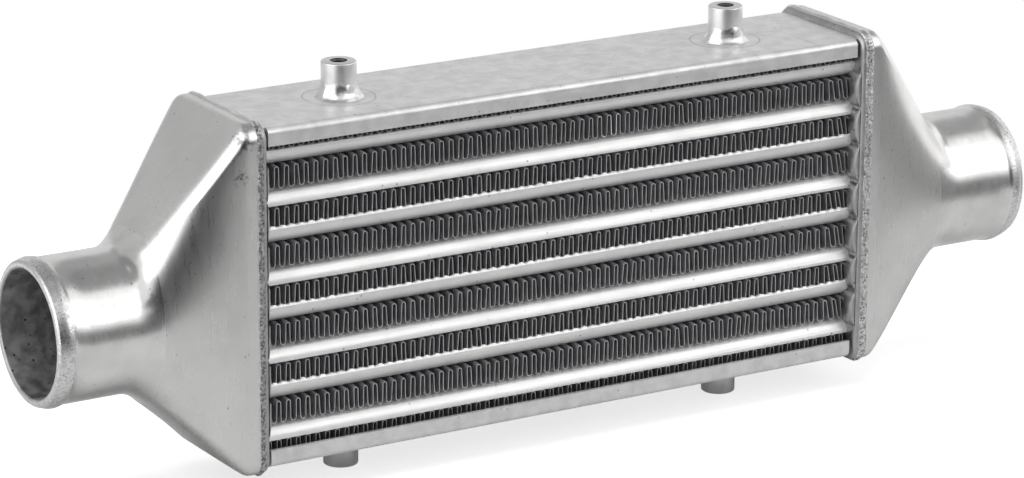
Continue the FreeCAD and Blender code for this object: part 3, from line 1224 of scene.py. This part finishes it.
@dataclass
class FinStrip:
    """One strip of folded fins: hairpin folds with small bends, crowded at the right header.

    kinks are bent places as X, height over the middle and push along X. The glint places are
    places along X where a bent cut edge gets the bright braze finish, as a painted glint.
    braze_rise is the fillet's height under a fold, and how much higher it climbs beside it.
    """

    number: int
    finishes: Finishes
    rng: random.Random
    waves: int = 64
    sheet: float = 0.3 * MM
    top_radius: float = 0.84 * MM
    fold_steps: int = 8
    splay: float = 0.16 * MM
    lean_spread: float = 0.15 * MM
    shift_spread: float = 0.09 * MM
    bow_spread: float = 0.07 * MM
    calm_parts: int = 12
    crowd_from: float = 0.95
    crowd_share: float = 0.45
    crowd_middle: float = 0.6
    crowd_lean: float = 0.4
    front_dip: float = 0.42 * MM
    dip_depth: float = 3.2 * MM
    kinks: Sequence[Point] = ()
    kink_reach: float = 2.2 * MM
    kink_height: float = 2.4 * MM
    kink_depth: float = 5.0 * MM
    cuts: Sequence[float] = (1.5 * MM, 5.0 * MM)
    painted_glints: Sequence[float] = ()
    shiny_reach: float = 0.7 * MM
    braze_rise: Pair = (0.45 * MM, 0.5 * MM)
    braze_steps: int = 8
    braze_curve: float = 1.5
    braze_scale: float = 700.0
    braze_lumps: float = 0.5
    braze_section: Sequence[Pair] = ((-0.85 * MM, 0.0), (-0.65 * MM, 0.5), (-0.35 * MM, 1.0),
                                     (0.5 * MM, 1.0), (0.5 * MM, 0.0))
    braze_angle: float = 50.0
    sharp_angle: float = 40.0

    def _fold(self, pitch: float, height: float) -> Profile:
        """One wave of the sheet's middle line.

        Args:
            pitch: Length of a wave.
            height: Height between the middle lines of the bends.

        Returns:
            The points, from the foot of one bend to the next.
        """
        top, upper, half = height / 2, self.top_radius, self.fold_steps // 2
        foot = pitch / 2 - upper - self.splay
        return (arc_points((0.0, foot - top), foot, 270.0, 360.0, half)
                + arc_points((pitch / 2, top - upper), upper, 180.0, 0.0, self.fold_steps)
                + arc_points((pitch, foot - top), foot, 180.0, 270.0, half))

    def _uneven(self, low: Vector, high: Vector) -> Mover:
        """Rule that spreads, leans and kinks the folds a little, each by its own amount.

        Args:
            low: The strip's lowest corner.
            high: The strip's highest corner.

        Returns:
            The rule.
        """
        spreads = (self.lean_spread, self.shift_spread, self.bow_spread)
        draws = [[self.rng.gauss(0.0, spread) for _ in range(self.waves + 1)]
                 for spread in spreads]
        length = high.x - low.x
        middle_z, half = (low.z + high.z) / 2, (high.z - low.z) / 2

        def move(place: Vector) -> Vector:
            """Bend one point of the strip.

            Args:
                place: The point.

            Returns:
                Its new place.
            """
            along = (place.x - low.x) / length
            wave = min(self.waves, max(0, int(along * self.waves)))
            inner = along * self.waves - wave
            following = min(self.waves, wave + 1)
            height = (place.z - middle_z) / half
            behind = place.y - low.y
            lean, shift, bow = (amounts[wave] * (1 - inner) + amounts[following] * inner
                                for amounts in draws)
            start, rest = along * self.calm_parts, (1 - along) * self.calm_parts
            calm = max(0.0, math.sin(math.pi * start)) if start < 1 else 1.0
            x = place.x + (lean * height + shift + bow * (1 - height * height)) * min(
                1.0, rest, start) * calm
            if along > self.crowd_from:
                late = (along - self.crowd_from) / (1 - self.crowd_from)
                crowd = self.crowd_share * (length / self.waves)
                x += crowd * late * (1 - late) * 4 * (self.crowd_middle
                                                      - self.crowd_lean * height)
            for kink_x, kink_z, push in self.kinks:
                near = math.exp(-((place.x - kink_x) / self.kink_reach) ** 2)
                level = math.exp(-((place.z - middle_z - kink_z) / self.kink_height) ** 2)
                x += push * near * level * max(0.0, 1 - behind / self.kink_depth)
            sunk = self.front_dip * max(0.0, height) * max(0.0, 1 - behind / self.dip_depth)
            return Vector((x, place.y, place.z - sunk))

        return move

    def _trace(self, path: Sequence[Vector], front: float, back: float) -> Piece:
        """Turn a plane into a strip of faces that follows a path.

        Args:
            path: The points to follow.
            front: The strip's front edge along Y.
            back: The strip's back edge along Y.

        Returns:
            The strip.
        """
        deselect_all()
        bpy.ops.mesh.primitive_plane_add(size=back - front, location=(0.0, 0.0, 0.0))
        strip = name_new(f"folded_fins_{self.number}")
        with editing(strip):
            bpy.context.tool_settings.mesh_select_mode = (False, True, False)
            mesh = bmesh.from_edit_mesh(strip.data)
            for face in mesh.faces:
                face.select_set(False)
            for edge in mesh.edges:
                edge.select_set(all(vertex.co.x > 0 for vertex in edge.verts))
            for vertex in mesh.verts:
                point = path[1] if vertex.co.x > 0 else path[0]
                vertex.co = Vector((point.x, front if vertex.co.y < 0 else back, point.z))
            bmesh.update_edit_mesh(strip.data)
            for before, point in zip(path[1:], path[2:]):
                step = point - before
                bpy.ops.mesh.extrude_region_move(TRANSFORM_OT_translate={"value": step})
            bpy.context.tool_settings.mesh_select_mode = (True, False, False)
        return strip

    def _braze(self, low: Vector, pitch: float) -> Piece:
        """The fillet along a flat tube side, which climbs between the folds at each foot.

        Args:
            low: The strip's lowest corner.
            pitch: Length of a wave.

        Returns:
            The fillet.
        """
        base, peak = self.braze_rise
        rings = []
        for i in range(self.braze_steps + 1):
            share = i / self.braze_steps
            rise = base + peak * abs(math.cos(math.pi * share)) ** self.braze_curve
            rings.append([Vector((low.x + pitch * share, low.y + y, low.z + z * rise))
                          for y, z in self.braze_section])
        fillet = loft(f"braze_line_{self.number}", rings, closed=False)
        fillet.data.materials.append(self.finishes.braze_and_glint)
        repeat_along(fillet, self.waves, pitch, merge=False)
        seed = Vector((self.rng.uniform(0.0, 90.0), 0.0, 0.0))
        shape_vertices(fillet, lambda p: p + Vector((0.0, 0.0, self.braze_lumps * (
            p.z - low.z) * noise.noise(p * self.braze_scale + seed))))
        smooth(fillet, self.braze_angle)
        return fillet

    def build(self) -> None:
        """Fold the strip and dress it."""
        node = f"fin_strip_{self.number}"
        low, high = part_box(node)
        pitch = (high.x - low.x) / self.waves
        centre_z = (low.z + high.z) / 2
        path = [Vector((low.x + x, 0.0, centre_z + z))
                for x, z in self._fold(pitch, high.z - low.z - self.sheet)]
        strip = self._trace(path, low.y, high.y)
        repeat_along(strip, self.waves, pitch, merge=True)
        cut_across(strip, (0.0, 1.0, 0.0), [low.y + depth for depth in self.cuts])
        shape_vertices(strip, self._uneven(low, high))
        thick = strip.modifiers.new("sheet", "SOLIDIFY")
        thick.thickness = self.sheet
        thick.offset = 0.0
        thick.use_rim = True
        thick.material_offset_rim = StripSlot.EDGE
        finishes = (self.finishes.fin_wall_painted_shade, self.finishes.fin_edge_painted_shade, self.finishes.braze_and_glint)
        for finish in finishes[:2]:
            strip.data.materials.append(finish)
        apply_modifiers(strip)
        smooth(strip, self.sharp_angle)
        # Painted glints: cut edges at the listed places take the bright braze finish, where bent
        # edges catch light.
        for face in strip.data.polygons:
            bright = any(abs(face.center.x - x) < self.shiny_reach for x in self.painted_glints)
            if bright and face.material_index == StripSlot.EDGE:
                face.material_index = StripSlot.BRAZE_AND_GLINT
        if self.number % 2:
            strip = join((strip, self._braze(low, pitch)))
        hand_in(strip, finishes, node)


@dataclass
class Core:
    """The brazed core: tubes, inner fins, folded fins, headers and side plates.

    The sunk strips lie under a flat tube side, where the tops of the folds can be seen.
    """

    finishes: Finishes
    rng: random.Random
    tube_count: int = 8
    sharp_angle: float = 35.0
    sunk_strips: Sequence[int] = (3, 5, 7)
    sunk_dip: float = 1.2 * MM
    top_rise: Pair = (0.1 * MM, 0.25 * MM)
    pillow: float = 1.9 * MM
    pillow_overlap: float = 2.6 * MM
    pillow_margin: float = 1.2 * MM
    pillow_root: float = 0.3 * MM
    pillow_steps: int = 14
    pillow_places: Sequence[float] = (0.0, 0.25 * MM, 0.6 * MM, 1.2 * MM, 2.2 * MM, 4.0 * MM,
                                      12.0 * MM)
    pillow_end: float = 2.2 * MM
    pillow_angle: float = 60.0
    nick_places: Sequence[float] = (-0.116, -0.0848, 0.0042, 0.1176)
    nick_depth: float = 0.4 * MM
    nick_half_width: float = 0.45 * MM
    lip_height: float = 5.0 * MM
    lip_depth: float = 2.6 * MM

    def build(self) -> None:
        """Make and dress every piece of the core."""
        kinks = {
            2: ((0.0145, 0.0, -0.0009), (0.0172, 0.0, -0.0011), (0.0212, -0.0004, 0.001),
                (-0.1215, -0.001, 0.0009)),
            3: ((0.0842, -0.003, 0.0009),),
            4: ((0.0758, 0.0, 0.0009), (0.0786, 0.001, -0.0008)),
        }
        # Places of painted glints on bent fin edges, for each strip.
        painted_glints = {2: (0.0149, 0.0168, 0.0201, 0.0229), 3: (0.0842,)}
        for number in range(1, self.tube_count + 2):
            strip = FinStrip(number, self.finishes, self.rng, kinks=kinks.get(number, ()),
                             painted_glints=painted_glints.get(number, ()))
            if number == 1:
                strip.braze_rise = self.top_rise
            elif number in self.sunk_strips:
                strip.front_dip = self.sunk_dip
            strip.build()
        for number in range(1, self.tube_count + 1):
            self._tube(number)
            # The turbulators take the dark header finish: painted shade inside the tubes.
            dress(f"turbulator_{number}", self.finishes.header)
        for side in (Side.LEFT, Side.RIGHT):
            self._header(side)
        for side in (Side.TOP, Side.BOTTOM):
            self._plate(side)

    def _tube(self, number: int) -> None:
        """Smooth and dress one tube.

        Args:
            number: The tube's number, from the top.
        """
        tube = merged_copy(f"tube_{number}", f"charge_tube_{number}")
        smooth(tube, self.sharp_angle)
        hand_in(tube, (self.finishes.tube,), f"tube_{number}")

    def _header(self, side: Side) -> None:
        """Smooth and dress one header, with its swells.

        Args:
            side: The end that the header is at.
        """
        node = f"header_{side.word}"
        header = merged_copy(node, f"header_tray_{side.word}")
        smooth(header, self.sharp_angle)
        weight_normals(header)
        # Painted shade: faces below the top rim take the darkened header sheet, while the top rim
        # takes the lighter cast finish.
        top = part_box(node)[1].z - MM
        for face in header.data.polygons:
            face.material_index = int(face.center.z > top)
        swells = [self._pillow(side, number) for number in range(2, self.tube_count + 1)]
        header = join([header, *swells])
        hand_in(header, (self.finishes.header, self.finishes.cast), node)

    def _pillow(self, side: Side, number: int) -> Piece:
        """The header's swell between two tubes, drawn out towards the core.

        Args:
            side: The end that the header is at.
            number: The fin strip that the swell faces.

        Returns:
            The swell.
        """
        low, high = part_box(f"header_{side.word}")
        fin_low, fin_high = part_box(f"fin_strip_{number}")
        face_x = low.x if side.sign > 0 else high.x
        root_x = face_x + side.sign * self.pillow_root
        bottom, top = fin_low.z - self.pillow_overlap, fin_high.z + self.pillow_overlap
        length = high.y - low.y - 2 * self.pillow_margin
        ends = list(self.pillow_places)
        rings = []
        for along in ends + [length - place for place in reversed(ends)]:
            y = low.y + self.pillow_margin + along
            shares = (1.0, along / self.pillow_end, (length - along) / self.pillow_end)
            rise = self.pillow * min(shares) ** 0.5
            ring = []
            for i in range(self.pillow_steps + 1):
                share = i / self.pillow_steps
                swell = math.sin(math.pi * share) ** 0.5 * rise
                z = bottom + (top - bottom) * share
                ring.append(Vector((face_x - side.sign * swell, y, z)))
            rings.append(ring + [Vector((root_x, y, top)), Vector((root_x, y, bottom))])
        pillow = loft(f"pillow_{side.word}_{number}", rings, closed=False)
        smooth(pillow, self.pillow_angle)
        return pillow

    def _plate(self, side: Side) -> None:
        """Nick, smooth and dress one side plate.

        Args:
            side: Whether it is the top plate or the bottom one.
        """
        node = f"side_plate_{side.word}"
        plate = merged_copy(node, f"{side.word}_plate")
        low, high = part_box(node)
        outer_z = high.z if side.sign > 0 else low.z
        shifts = (-self.nick_half_width, 0.0, self.nick_half_width)
        cut_across(plate, (1.0, 0.0, 0.0), [nick + s for nick in self.nick_places for s in shifts])
        inward = Vector((0.0, 1.0, -side.sign)) * (self.nick_depth / math.sqrt(2))

        def dent(place: Vector) -> Vector:
            """Press in the front edge at a nick.

            Args:
                place: A point of the plate.

            Returns:
                Its new place.
            """
            nicked = any(abs(place.x - nick) < 1e-5 for nick in self.nick_places)
            down, back = abs(outer_z - place.z), place.y - low.y
            if (not nicked or down > self.lip_height or back > self.lip_depth
                    or down > MM and back > MM):
                return place
            return place + inward

        shape_vertices(plate, dent)
        smooth(plate, self.sharp_angle)
        weight_normals(plate)
        hand_in(plate, (self.finishes.plate,), node)


@dataclass
class Mounts:
    """The threaded bosses and the fillet welds at their feet, on one side plate.

    weld_curve gives shares of the weld's reach and of its height.
    """

    side: Side
    finishes: Finishes
    rng: random.Random
    boss_radius: float = 7.0 * MM
    hole_radius: float = 3.2 * MM
    hole_depth: float = 12.0 * MM
    hole_chamfer: float = 0.2 * MM
    hole_point: float = 0.8 * MM
    pole_radius: float = 0.2 * MM
    rim_width: float = 0.05 * MM
    edge_round: float = 0.6 * MM
    thread_pitch: float = 1.25 * MM
    thread_depth: float = 0.45 * MM
    weld_reach: float = 2.7 * MM
    weld_height: float = 5.6 * MM
    weld_overlap: float = 0.4 * MM
    weld_sink: float = 0.1 * MM
    lump_out: float = 0.9 * MM
    fold_out: float = 0.45 * MM
    lump_up: float = 2.0 * MM
    weld_curve: Sequence[Pair] = ((0.0, 1.0), (0.05, 0.9), (0.12, 0.74), (0.22, 0.56),
                                  (0.35, 0.4), (0.5, 0.26), (0.68, 0.14), (0.87, 0.05),
                                  (1.0, -0.02))
    around: int = 64
    sharp_angle: float = 40.0
    foot: float = field(init=False)
    height: float = field(init=False)

    def __post_init__(self) -> None:
        """Find the plate's outer face and the bosses' height over it."""
        edge = int(self.side.sign > 0)
        self.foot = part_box(f"side_plate_{self.side.word}")[edge].z
        self.height = abs(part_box(f"bosses_{self.side.word}")[edge].z - self.foot)

    def build(self) -> None:
        """Make both bosses and both welds and dress them."""
        word = self.side.word
        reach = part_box(f"bosses_{word}")[1].x - self.boss_radius
        places = tuple(enumerate((-reach, reach), 1))
        bosses = [self._boss(f"boss_{word}_{i}", x) for i, x in places]
        welds = [self._weld(f"boss_weld_{word}_{i}", x) for i, x in places]
        for boss in bosses:
            hand_in(boss, (self.finishes.boss, self.finishes.thread),
                    f"bosses_{word}")
        for weld in welds:
            hand_in(weld, (self.finishes.fresh_weld,), f"boss_welds_{word}")

    def _turn(self, name: str, centre_x: float, profile: Profile,
              lumps: Callable[[float, float, float], Pair] | None = None) -> Piece:
        """Turn a closed profile of radii and heights round a boss's axis.

        Args:
            name: Name for the piece.
            centre_x: Where the axis is.
            profile: The profile.
            lumps: Gives from angle, radius and height how far a point moves out and up.

        Returns:
            The piece.
        """
        rings = []
        for i in range(self.around):
            angle = 2 * math.pi * i / self.around
            ring = []
            for radius, height in profile:
                out, up = lumps(angle, radius, height) if lumps else (0.0, 0.0)
                reach = radius + out
                ring.append(Vector((centre_x + reach * math.cos(angle), reach * math.sin(angle),
                                    self.foot + self.side.sign * (height + up))))
            rings.append(ring)
        piece = loft(name, rings, closed=True)
        smooth(piece, self.sharp_angle)
        return piece

    def _boss(self, name: str, centre_x: float) -> Piece:
        """A boss with a rounded rim and a threaded hole.

        Args:
            name: Name for the boss.
            centre_x: Where its axis is.

        Returns:
            The boss.
        """
        soft, height, hole = self.edge_round, self.height, self.hole_radius
        bottom = height - self.hole_depth
        profile = [(self.pole_radius, 0.0), (self.boss_radius, 0.0),
                   (self.boss_radius, height / 2)]
        profile += arc_points((self.boss_radius - soft, height - soft), soft, 0.0, 90.0, 4)
        profile.append((hole + self.hole_chamfer, height))
        level = height
        while level - self.thread_pitch > bottom:
            profile.append((hole + self.thread_depth, level - self.thread_pitch * 0.3))
            profile.append((hole, level - self.thread_pitch * 0.8))
            level -= self.thread_pitch
        profile += [(hole, bottom), (self.pole_radius, bottom - self.hole_point)]
        boss = self._turn(name, centre_x, profile)
        # Faces inside the hole, below the rim, take the dark thread finish: painted shade.
        for face in boss.data.polygons:
            reach = math.hypot(face.center.x - centre_x, face.center.y)
            below_rim = height - abs(face.center.z - self.foot) > self.rim_width
            if reach < hole + self.thread_depth and below_rim:
                face.material_index = 1
        return boss

    def _weld(self, name: str, centre_x: float) -> Piece:
        """A hollow fillet weld with soft lumps.

        Args:
            name: Name for the weld.
            centre_x: Where its boss's axis is.

        Returns:
            The weld.
        """
        seed = self.rng.uniform(0.0, 100.0)
        reach, rise = self.weld_reach, self.weld_height
        inner = self.boss_radius - self.weld_overlap
        profile = [(inner, -self.weld_sink), (inner, rise)]
        profile += [(self.boss_radius + reach * out, rise * up) for out, up in self.weld_curve]

        def lumps(angle: float, radius: float, height: float) -> Pair:
            """How far a point of the weld moves.

            Args:
                angle: Its angle round the boss.
                radius: Its distance from the axis.
                height: Its height over the plate.

            Returns:
                How far it moves out and up.
            """
            if radius < self.boss_radius - self.weld_overlap / 2:
                return 0.0, 0.0
            x, y = math.cos(angle), math.sin(angle)
            broad = Vector((x * 1.3, y * 1.3, seed + height * 160.0))
            fine = Vector((x * 2.6, y * 2.6, seed * 2 + height * 420.0))
            share = (radius - self.boss_radius) / reach
            out = (self.lump_out * noise.noise(broad) * (0.3 + share)
                   + self.fold_out * noise.noise(fine))
            up = self.lump_up * noise.noise(broad * 1.2) * (1 - share)
            return (max(0.0, out) if share < 0.05 else out), up

        return self._turn(name, centre_x, profile, lumps)


@dataclass(frozen=True)
class Card:
    """A curved card round the object that only reflections see.

    Azimuths are in degrees from -Y towards +X, and elevations in degrees above the horizon.
    """

    name: str
    tone: float
    azimuths: Pair
    elevations: Pair
    reach: float
    steps: int = 32

    def build(self) -> None:
        """Make the card and hide it from the camera, diffuse light and shadows."""
        rows = []
        for elevation in self.elevations:
            height = self.reach * math.tan(math.radians(elevation))
            rows += [(x, y, height) for x, y in arc_points(
                (0.0, 0.0), self.reach, *(turn - 90.0 for turn in self.azimuths), self.steps)]
        mesh = bpy.data.meshes.new(self.name)
        across = self.steps + 1
        faces = [(i, i + 1, across + 1 + i, across + i) for i in range(self.steps)]
        mesh.from_pydata(rows, [], faces)
        card = bpy.data.objects.new(self.name, mesh)
        bpy.context.scene.collection.objects.link(card)
        material = bpy.data.materials.new(self.name)
        material.use_nodes = True
        net = Network(material.node_tree)
        glow = net.add("Emission", {"Color": rgba(self.tone), "Strength": 1.0})
        output = material.node_tree.nodes["Material Output"]
        net.tree.links.new(glow.outputs[0], output.inputs[0])
        mesh.materials.append(material)
        card.visible_camera = card.visible_diffuse = card.visible_shadow = False


@dataclass
class Studio:
    """Pale floor, plain soft light, dark cards for the metal to reflect, and the camera.

    The camera's angles are in degrees, and its lens is in millimetres.
    """

    floor_half: float = 0.34
    floor_tone: float = 0.8
    floor_lift: float = 0.65
    surround: float = 0.35
    azimuth: float = 31.321
    elevation: float = 16.793
    roll: float = 0.3627
    distance: float = 1.797747
    aim_right: float = -9.389 * MM
    aim_up: float = -3.291 * MM
    lens: float = 157.157
    sensor: float = 36.0
    clip: Pair = (0.05, 20.0)
    cards: Sequence[Card] = (
        Card("front_low_left", 0.45, (-60.0, 12.0), (-45.0, -12.0), 2.6),
        Card("front_low_right", 0.6, (12.0, 36.0), (-45.0, -12.0), 2.6),
        Card("front_flag_left", 0.04, (-50.0, 4.0), (-12.0, 34.0), 2.6),
        Card("front_flag_middle", 0.12, (4.0, 16.0), (-12.0, 16.0), 2.6),
        Card("front_flag_right", 0.2, (16.0, 47.0), (-12.0, 7.0), 2.6),
        Card("left_strip", 2.1, (-116.0, -50.0), (0.0, 46.0), 2.5),
        Card("right_low_card", 0.3, (36.0, 76.0), (-45.0, 7.0), 2.62),
        Card("right_panel", 1.2, (76.0, 122.0), (-40.0, 30.0), 2.6),
        Card("key_return", 1.3, (16.0, 84.0), (46.0, 61.0), 2.55),
        Card("rear_card_right", 0.78, (122.0, 180.0), (-8.0, 32.0), 2.7),
        Card("rear_card_high", 0.42, (80.0, 180.0), (32.0, 60.0), 2.65),
        Card("rear_card_left", 0.55, (-180.0, -108.0), (-8.0, 60.0), 2.7),
        Card("ceiling_card", 0.3, (-180.0, 180.0), (60.0, 85.0), 1.2))

    def build(self) -> None:
        """Set up the stage."""
        self._floor()
        self._world()
        for card in self.cards:
            card.build()
        self._lamp("key_softbox", (1.3, -1.5, 1.15), (1.9, 1.3), 8.4)
        top = self._lamp("top_softbox", (-0.2, -0.3, 1.8), (1.6, 1.2), 20.0)
        top.visible_glossy = False
        self._camera()
        bpy.context.scene.view_settings.view_transform = "Standard"

    def _floor(self) -> None:
        """A pale floor under the lowest bosses, white to the camera apart from the shadow."""
        deselect_all()
        bpy.ops.mesh.primitive_plane_add(size=2 * self.floor_half,
                                         location=(0.0, 0.0, CAD_BOX[0].z))
        floor = name_new("studio_floor")
        bpy.ops.object.transform_apply(location=True, rotation=True, scale=True)
        material = bpy.data.materials.new("studio_floor")
        material.use_nodes = True
        net = Network(material.node_tree)
        shader = material.node_tree.nodes["Principled BSDF"]
        shader.inputs["Base Color"].default_value = rgba(self.floor_tone)
        shader.inputs["Roughness"].default_value = 0.9
        shader.inputs["Specular IOR Level"].default_value = 0.0
        path = net.add("LightPath")
        lift = net.math("MULTIPLY", path.outputs["Is Camera Ray"], self.floor_lift)
        glow = net.add("Emission", {"Color": rgba(1.0), "Strength": lift})
        both = net.add("AddShader", {0: shader.outputs[0], 1: glow.outputs[0]})
        output = material.node_tree.nodes["Material Output"]
        net.tree.links.new(both.outputs[0], output.inputs[0])
        floor.data.materials.append(material)

    def _world(self) -> None:
        """White behind the object and in its reflections, and softer as a light."""
        world = bpy.data.worlds.new("studio")
        bpy.context.scene.world = world
        world.use_nodes = True
        net = Network(world.node_tree)
        plain = world.node_tree.nodes["Background"]
        plain.inputs[0].default_value = rgba(1.0)
        plain.inputs[1].default_value = self.surround
        path = net.add("LightPath")
        seen = net.math("MAXIMUM", path.outputs["Is Camera Ray"], path.outputs["Is Glossy Ray"])
        seen = net.math("MAXIMUM", seen, path.outputs["Is Transmission Ray"])
        white = net.add("Background", {0: rgba(1.0), 1: 1.0})
        mixed = net.add("MixShader", {0: seen, 1: plain.outputs[0], 2: white.outputs[0]})
        net.tree.links.new(mixed.outputs[0], world.node_tree.nodes["World Output"].inputs[0])

    @staticmethod
    def _lamp(name: str, place: Point, size: Pair, power: float) -> Piece:
        """Add a rectangular lamp that points at the object.

        Args:
            name: Name of the lamp.
            place: Where it stands.
            size: Its width and height.
            power: Its power in watts.

        Returns:
            The lamp.
        """
        data = bpy.data.lights.new(name, "AREA")
        data.shape = "RECTANGLE"
        data.size, data.size_y = size
        data.energy = power
        lamp = bpy.data.objects.new(name, data)
        lamp.location = place
        lamp.rotation_euler = (-Vector(place)).to_track_quat("-Z", "Y").to_euler()
        lamp.visible_camera = False
        bpy.context.scene.collection.objects.link(lamp)
        return lamp

    def _camera(self) -> None:
        """A long lens from the front left, a little above."""
        azimuth, elevation = math.radians(self.azimuth), math.radians(self.elevation)
        forward = Vector((math.sin(azimuth) * math.cos(elevation),
                          math.cos(azimuth) * math.cos(elevation), -math.sin(elevation)))
        right = Vector((math.cos(azimuth), -math.sin(azimuth), 0.0))
        up = right.cross(forward)
        turn = math.radians(self.roll)
        across = right * math.cos(turn) + up * math.sin(turn)
        upright = up * math.cos(turn) - right * math.sin(turn)
        data = bpy.data.cameras.new("photo_camera")
        data.lens = self.lens
        data.sensor_width = self.sensor
        data.clip_start, data.clip_end = self.clip
        camera = bpy.data.objects.new("photo_camera", data)
        place = across * self.aim_right + upright * self.aim_up - forward * self.distance
        basis = Matrix((across, upright, -forward)).transposed()
        camera.matrix_world = Matrix.Translation(place) @ basis.to_4x4()
        bpy.context.scene.collection.objects.link(camera)
        bpy.context.scene.camera = camera


def main() -> None:
    """Build the dressed intercooler and its stage."""
    logging.basicConfig(level=logging.INFO, format="%(message)s")
    rng = random.Random(SEED)
    finishes = Finishes(ShaderGroups())
    Core(finishes, rng).build()
    for side in (Side.LEFT, Side.RIGHT):
        EndTank(side, finishes).build()
        if side is Side.LEFT:
            TankWeld(side, finishes, finishes.dull_weld, rng, width=3.0 * MM,
                     shift=0.4 * MM).build()
        else:
            TankWeld(side, finishes, finishes.weld, rng).build()
    for side in (Side.TOP, Side.BOTTOM):
        Mounts(side, finishes, rng).build()
    Studio().build()


if __name__ == "__main__":
    main()
